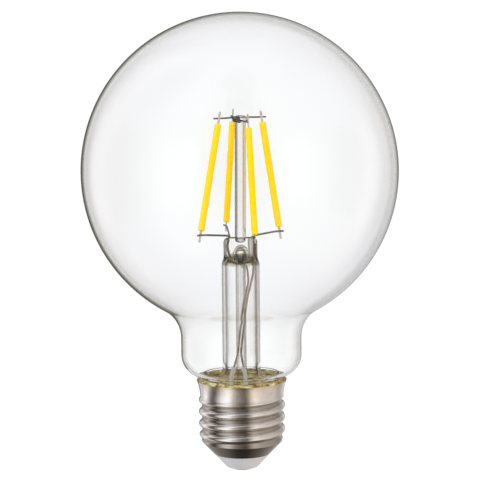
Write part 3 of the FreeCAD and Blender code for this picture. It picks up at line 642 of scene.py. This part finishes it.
# Outside and inside in rows by height: r = middle + depth * wave, where the wave falls from 1 at
# the crest to 0 midway as sqrt(bend^2 - d^2) does, with d the height from the crest.
def makeCap(columns=200):
    angle = np.arange(columns) * 2 * np.pi / columns
    z = np.concatenate([np.linspace(cap["coneFoot"], cap["coneTop"], 12)[:-1],
                        np.linspace(cap["coneTop"], cap["skirtFoot"], 118)[:-1],
                        np.linspace(cap["skirtFoot"], cap["height"], 22)])[:, None]
    above = smooth(cap["skirtFoot"] - z, 0, cap["topFade"])
    below = smooth(z - cap["coneTop"], 0, cap["footFade"])
    middle, depth = (cap["major"] + cap["minor"]) / 4, (cap["major"] - cap["minor"]) / 4
    turns = (z - cap["crest"]) / cap["pitch"] - angle / (2 * np.pi)
    fromCrest = np.abs(turns - np.round(turns)) * cap["pitch"]
    fromPeak = np.minimum(fromCrest, cap["pitch"] / 2 - fromCrest)
    bend = ((cap["pitch"] / 4) ** 2 + depth ** 2) / (2 * depth)
    swell = (np.sqrt(bend ** 2 - fromPeak ** 2) - bend + depth) / depth
    wave = np.where(fromCrest < cap["pitch"] / 4, swell, -swell)
    thread = (middle + (cap["skirtFootRadius"] - middle) * (1 - above)
              + (cap["coneTopRadius"] - middle) * (1 - below) + depth * wave * above * below)
    coneShare = (z - cap["coneFoot"]) / (cap["coneTop"] - cap["coneFoot"])
    cone = cap["coneFootRadius"] + (cap["coneTopRadius"] - cap["coneFootRadius"]) * coneShare
    radius = np.where(z > cap["skirtFoot"], skirtRadius(z), np.where(z < cap["coneTop"], cone, thread))
    radius = radius + 0 * angle
    both = np.concatenate([radius, radius[::-1] - cap["sheet"]])
    height = np.concatenate([z, z[::-1]])
    grid = np.stack([both * np.cos(angle), both * np.sin(angle), height + 0 * angle], axis=-1)
    return makePiece("screw_shell", grid, platedSteel, ["cap_shell"], rowsJoin=True)


# Cement: a ring between skirt and seal tube that stands above the rim in a bead, with a ledge
# under the tube, uneven on top.
cement = {"top": 27.25, "foot": 23.05, "beadTop": 27.95, "beadRadius": 12.4, "ledgeTop": 25.15,
          "ledgeFoot": 23.1, "hole": 5.0, "clearance": 0.33, "glassGap": 0.01, "foldBack": 0.8,
          "unevenness": 0.12, "unevenDepth": 0.3}


# The skirt's inside, then corner to corner over bead and ledge, turned about Z. The top rises by
# unevenness times lumps, a sum of products of sines of x and y.
def makeCement(columns=160):
    rows = np.linspace(cement["foot"], cement["top"], 10)
    wall = np.stack([skirtRadius(rows) - cement["clearance"], rows], axis=1)
    seal = globe["sealRadius"] + cement["glassGap"]
    beadTop, ledgeTop = cement["beadTop"], cement["ledgeTop"]
    ledgeFoot, hole = cement["ledgeFoot"], cement["hole"]
    corners = [wall[-1], (cement["beadRadius"], beadTop), (seal, beadTop), (seal, ledgeTop), (hole, ledgeTop),
               (hole, ledgeFoot), (seal - cement["foldBack"], ledgeFoot)]
    profile = np.concatenate([wall, *runs(corners, (8, 6, 8, 14, 4, 6)),
                              [(wall[0, 0] - cement["foldBack"], cement["foot"])]])
    grid = turned(profile, columns)
    x, y, z = grid[..., 0], grid[..., 1], grid[..., 2]
    lumps = (np.sin(2.1 * x + 0.4) * np.sin(1.7 * y + 1.0) + 0.6 * np.sin(4.3 * x - 2.0 * y)
             + 0.4 * np.sin(6.1 * y + 3.3 * x)) / 2
    upper = smooth(z, cement["ledgeTop"] - cement["unevenDepth"], cement["ledgeTop"])
    grid[..., 2] = z + cement["unevenness"] * lumps * upper
    return makePiece("baked_cement", grid, cappingCement, ["capping_cement"], rowsJoin=True,
                     sharpDegrees=50)


# Insulator and contact at the foot of the cap.
base = {"faceRadius": 4.2, "round": 0.9, "roundHeight": 0.5, "plate": 0.45, "footRadius": 8.65,
        "coneFoot": 4.8, "top": 6.8, "ledge": 8.35, "topRadius": 10.2, "plateRadius": 3.3, "pin": 0.9,
        "pinTop": 7.4, "bevel": 0.15}


# A flat face round the pin, a sixth of an ellipse at its edge, then corner to corner over the
# cone, the ledge inside the cap and the top, turned about Z.
def makeInsulator():
    bend = np.radians(np.linspace(0, 60, 8))
    corner = np.stack([base["faceRadius"] + base["round"] * np.sin(bend) / math.sin(math.radians(60)),
                       base["plate"] + base["roundHeight"] * (1 - np.cos(bend)) * 2], axis=1)
    pin, plate, top, coneFoot = [base[part] for part in ("pin", "plate", "top", "coneFoot")]
    corners = [corner[-1], (base["footRadius"], coneFoot), (base["ledge"], coneFoot),
               (base["topRadius"], top), (pin, top), (pin, plate)]
    profile = np.concatenate([run((pin, plate), (base["faceRadius"], plate), 6), corner[1:],
                              *runs(corners, (16, 2, 6, 6, 6))])[:-1]
    return makePiece("grey_insulator", turned(profile, 128), mouldedInsulator,
                     ["insulator"], rowsJoin=True)


# A disc with a round edge, and a pin with a bevelled end, turned about Z.
def makeContact():
    edge, bevel, pin, pinTop = base["plate"] / 2, base["bevel"], base["pin"], base["pinTop"]
    profile = np.concatenate([
        run((0, 0), (base["plateRadius"] - edge, 0), 6),
        arc(base["plateRadius"] - edge, edge, edge, -90, 60, 8)[1:],
        [(base["plateRadius"] - bevel, base["plate"]), (pin, base["plate"]), (pin, pinTop - bevel),
         (pin - bevel, pinTop), (0, pinTop)]])
    return makePiece("contact_plate", turned(profile, 96), contactPlate, ["centre_contact"])


makeGlobe()
makeStem()
makeExhaustTube()
makeRod()
for seed, name in enumerate(filaments):
    makeCoating(name, seed + 1)
makeCap()
makeCement()
makeInsulator()
makeContact()
print("Pieces made")

# CAD nodes that keep their own shape, by how their names start
finishes = {
    "die_strip_": aluminaStrip, "tab_foot_": platedTab, "tab_head_": platedTab, "side_wire": nickelWire,
    "depth_wire": nickelWire, "branch_": nickelWire, "lead_left": sealedLead, "lead_right": sealedLead,
    "sleeve_": milkySleeve, "contact_lead": tinnedCopper, "shell_lead": tinnedCopper,
    "driver_board": boardMask, "smoothing_capacitor": capacitorSleeve, "inductor": ferrite,
    "fusible_resistor": resistorLacquer, "driver_chip": moulding, "bridge_rectifier": moulding,
}
for nodeName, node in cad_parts.items():
    for start, material in finishes.items():
        if nodeName.startswith(start):
            node.data.materials.clear()
            node.data.materials.append(material)
print("CAD nodes dressed")

# Camera: long lens, a little above the middle of the bulb and tilted down to it
shot = {"lens": 154.78, "sensor": 36.0, "place": (-0.00011, -0.6144, 0.1528), "tilt": 82.322, "roll": -0.55}

# Studio: a pale floor and background, white to the camera and dimmer as light on matt pieces,
# and the strength of a room that is seen only in reflections
studio = {"white": 1.05, "ambient": 0.62, "floorHalf": 40.0, "room": 1.25}


# Whether a ray comes off something shiny, and how bright the plain floor or background is to it.
def studioLight(tree):
    add = partial(addNode, tree)
    path = add("LightPath").outputs
    mirrored = add("Math", {1: 0.5}, {0: path["Glossy Depth"]}, operation="GREATER_THAN")
    bounced = add("Math", {1: 0.5}, {0: path["Diffuse Depth"]}, operation="GREATER_THAN")
    level = add("MapRange", {"To Min": studio["white"], "To Max": studio["ambient"]}, {"Value": bounced})
    return mirrored, level


def makeFloor():
    half = studio["floorHalf"]
    mesh = bpy.data.meshes.new("studio_floor")
    mesh.from_pydata([(-half, -half, 0), (half, -half, 0), (half, half, 0), (-half, half, 0)], [],
                     [(0, 1, 2, 3)])
    floor = bpy.data.objects.new("studio_floor", mesh)
    bpy.context.scene.collection.objects.link(floor)
    material = bpy.data.materials.new("pale studio floor")
    material.use_nodes = True
    tree = material.node_tree
    tree.nodes.clear()
    add = partial(addNode, tree)
    mirrored, level = studioLight(tree)
    glow = add("Emission", None, {"Strength": level})
    gone = add("BsdfTransparent")
    mix = add("MixShader", None, {0: mirrored, 1: glow, 2: gone})
    add("OutputMaterial", None, {"Surface": mix})
    mesh.materials.append(material)


# The room by direction, seen only in reflections: bands round the horizon, where 0.5 is the
# camera's side, 0.75 the right and 0 straight behind the bulb.
roomBands = [(0.0, "#d2d0cd"), (0.066, "#dedcd9"), (0.09, "#b4afab"), (0.12, "#c9c4c1"), (0.15, "#f4f0ee"),
             (0.178, "#efe8e5"), (0.2, "#b8b1ae"), (0.225, "#78726f"), (0.25, "#59534f"), (0.268, "#524c49"),
             (0.29, "#8e8887"), (0.32, "#cdc8c5"), (0.35, "#f2eeec"), (0.38, "#ffffff"), (0.405, "#f2efea"),
             (0.43, "#bfb8b4"), (0.465, "#8f8780"), (0.505, "#6f665d"), (0.53, "#62594f"), (0.552, "#8f867b"),
             (0.578, "#d3c8bd"), (0.603, "#efe4d9"), (0.64, "#ddd2c8"), (0.7, "#cbc0b7"), (0.79, "#c2b7ad"),
             (0.85, "#a69e97"), (0.9, "#b5b1ac"), (0.94, "#d8d6d4"), (1.0, "#d2d0cd")]
# The lit paper behind the bulb and the dark round it, by the angle from straight behind as a
# share of paperAngle: darker on the left of the bulb than on its right.
paperLeft = [(0.0, "#f4f4f4"), (0.07, "#e0e0de"), (0.12, "#6c6e66"), (0.28, "#52544c"), (0.36, "#83827d"),
             (0.45, "#bdbcb9"), (0.58, "#e2e1df")]
paperRight = [(0.0, "#f4f4f4"), (0.08, "#e8e8e6"), (0.14, "#6f6f6c"), (0.28, "#82827f"), (0.42, "#c0bfbd"),
              (0.6, "#d8d6d4")]
# What both are multiplied by, from straight down to straight up: dark under the bulb.
roomHeights = [(0.0, "#1c1916"), (0.008, "#221f1b"), (0.016, "#38342f"), (0.035, "#524c46"),
               (0.07, "#675f58"), (0.1, "#a89f95"), (0.12, "#ddd5ca"), (0.14, "#f4ede3"), (0.3, "#ffffff"),
               (0.6, "#f8f8f8"), (0.72, "#dddbda"), (0.85, "#ffffff")]
# The table behind the bulb: how much of it a low direction meets, by the turn of the bands, and
# its own tone, by the height of the direction.
tableShare = [(0.13, "#ffffff"), (0.2, "#000000"), (0.8, "#000000"), (0.87, "#e0e0e0"), (1.0, "#ffffff")]
tableTones = [(0.0, "#211e1b"), (0.01, "#2c2824"), (0.03, "#5d5750"), (0.06, "#77716a"), (0.15, "#8c867f"),
              (0.35, "#a09a93")]
# Where one part of the room gives way to the next: by x for the two sides of the paper, by z for
# its pale foot on the right, the even top and bottom, the calm inner walls and the table, and by
# the share of paperAngle, in degrees, for the bands round the paper.
roomPlan = {"paperAngle": 60, "paperSides": {"From Min": -0.12, "From Max": 0.1},
            "paleFoot": {"From Min": -0.34, "From Max": -0.1}, "paleTone": "#c6c6c8",
            "bandsFrom": {"From Min": 0.45, "From Max": 0.65},
            "poles": {"From Min": 0.85, "From Max": 1.0}, "poleTone": "#e2e0de",
            "calmHeights": {"From Min": 0.25, "From Max": 0.5}, "calmTone": "#c6c5c8",
            "tableFrom": {"From Min": -0.3, "From Max": -0.6}}


def makeRoom():
    world = bpy.data.worlds.new("studio room")
    bpy.context.scene.world = world
    world.use_nodes = True
    tree = world.node_tree
    tree.nodes.clear()
    add = partial(addNode, tree)
    direction = add("TexCoord").outputs["Generated"]
    axes = add("SeparateXYZ", None, {"Vector": direction}).outputs
    steep = add("Math", None, {0: axes["Z"]}, operation="ABSOLUTE")

    # The bands, by the turn from straight behind
    toFront = add("Math", {1: -1.0}, {0: axes["Y"]}, operation="MULTIPLY")
    azimuth = add("Math", None, {0: axes["X"], 1: toFront}, operation="ARCTAN2")
    around = add("Math", {1: 1 / (2 * math.pi), 2: 0.5}, {0: azimuth}, operation="MULTIPLY_ADD")
    bands = add("ValToRGB", None, {"Fac": around}, roomBands)

    # The paper, round the line of sight of the camera
    dip = math.radians(shot["tilt"] - 90)
    behind = add("VectorMath", {1: (0, math.cos(dip), math.sin(dip))}, {0: direction},
                 operation="DOT_PRODUCT")
    offBehind = add("Math", None, {0: behind.outputs["Value"]}, operation="ARCCOSINE")
    share = add("MapRange", {"From Max": math.radians(roomPlan["paperAngle"])}, {"Value": offBehind})
    left, right = [add("ValToRGB", None, {"Fac": share}, stops) for stops in (paperLeft, paperRight)]
    rising = add("MapRange", roomPlan["paleFoot"], {"Value": axes["Z"]})
    rightTone = add("Mix", {6: linear(roomPlan["paleTone"])}, {0: rising, 7: right}, data_type="RGBA")
    rightness = add("MapRange", roomPlan["paperSides"], {"Value": axes["X"]})
    paper = add("Mix", None, {0: rightness, 6: left, 7: rightTone}, data_type="RGBA")
    beyond = add("MapRange", roomPlan["bandsFrom"], {"Value": share})
    allRound = add("Mix", None, {0: beyond, 6: paper, 7: bands}, data_type="RGBA")
    overhead = add("MapRange", roomPlan["poles"], {"Value": steep}, interpolation_type="SMOOTHSTEP")
    merged = add("Mix", {7: linear(roomPlan["poleTone"])}, {0: overhead, 6: allRound}, data_type="RGBA")

    # Inside the glass, away from the paper, high and low directions meet one calm tone.
    depth = add("LightPath").outputs["Transmission Depth"]
    outside = add("Math", {1: 0.5}, {0: depth}, operation="LESS_THAN")
    within = add("Math", {0: 1.0}, {1: outside}, operation="SUBTRACT")
    aside = add("MapRange", roomPlan["calmHeights"], {"Value": steep}, interpolation_type="SMOOTHSTEP")
    evened = add("Math", None, {0: aside, 1: within}, operation="MULTIPLY")
    farFromPaper = add("Math", None, {0: evened, 1: beyond}, operation="MULTIPLY")
    calm = add("Mix", {7: linear(roomPlan["calmTone"])}, {0: farFromPaper, 6: merged}, data_type="RGBA")

    # Outside the glass, the heights and the table behind
    upward = add("Math", {1: 0.5, 2: 0.5}, {0: axes["Z"]}, operation="MULTIPLY_ADD")
    heights = add("ValToRGB", None, {"Fac": upward}, roomHeights)
    room = add("Mix", None, {0: outside, 6: calm, 7: heights}, data_type="RGBA", blend_type="MULTIPLY")
    turn = add("ValToRGB", None, {"Fac": around}, tableShare)
    low = add("MapRange", roomPlan["tableFrom"], {"Value": axes["Z"]})
    table = add("Math", None, {0: low, 1: turn}, operation="MULTIPLY")
    met = add("Math", None, {0: table, 1: outside}, operation="MULTIPLY")
    tableTop = add("ValToRGB", None, {"Fac": upward}, tableTones)
    withTable = add("Mix", None, {0: met, 6: room, 7: tableTop}, data_type="RGBA")

    # Reflections see the room, and everything else a plain white.
    mirrored, level = studioLight(tree)
    plain = add("Background", {"Color": linear("#ffffff")}, {"Strength": level})
    seen = add("Background", {"Strength": studio["room"]}, {"Color": withTable})
    mix = add("MixShader", None, {0: mirrored, 1: plain, 2: seen})
    add("OutputWorld", None, {"Surface": mix})
    world.cycles.sampling_method = "NONE"


# Soft boxes, which light matt surfaces through the glass: azimuth from the camera's side to the
# right, elevation, power and colour. All have one size, in metres, at one distance from aim.
softboxes = {"left_softbox": (-55, 25, 3.8, "#fbfdff"), "right_softbox": (50, 20, 3.3, "#ffedd2"),
             "back_softbox": (180, 20, 1.3, "#ffffff")}
softboxPlan = {"side": 0.4, "distance": 0.6, "aim": (0, 0, 0.09)}


def makeSoftbox(name, azimuthDegrees, elevationDegrees, power, colour):
    azimuth, elevation = math.radians(azimuthDegrees), math.radians(elevationDegrees)
    away = Vector((math.sin(azimuth) * math.cos(elevation), -math.cos(azimuth) * math.cos(elevation),
                   math.sin(elevation)))
    data = bpy.data.lights.new(name, "AREA")
    data.shape = "SQUARE"
    data.size = softboxPlan["side"]
    data.energy = power
    data.color = linear(colour)[:3]
    data.use_shadow = False
    light = bpy.data.objects.new(name, data)
    light.location = Vector(softboxPlan["aim"]) + away * softboxPlan["distance"]
    light.rotation_mode = "QUATERNION"
    light.rotation_quaternion = away.to_track_quat("Z", "Y")
    light.visible_camera = light.visible_glossy = light.visible_transmission = False
    bpy.context.scene.collection.objects.link(light)


makeFloor()
makeRoom()
for boxName, placing in softboxes.items():
    makeSoftbox(boxName, *placing)
bpy.context.scene.view_settings.view_transform = "Standard"

camera = bpy.data.objects.new("camera", bpy.data.cameras.new("camera"))
camera.data.lens = shot["lens"]
camera.data.sensor_width = shot["sensor"]
camera.location = shot["place"]
camera.rotation_mode = "ZYX"  # the roll comes first, about the camera's own line of sight
camera.rotation_euler = (math.radians(shot["tilt"]), 0, math.radians(shot["roll"]))
bpy.context.scene.collection.objects.link(camera)
bpy.context.scene.camera = camera
print("Studio set")
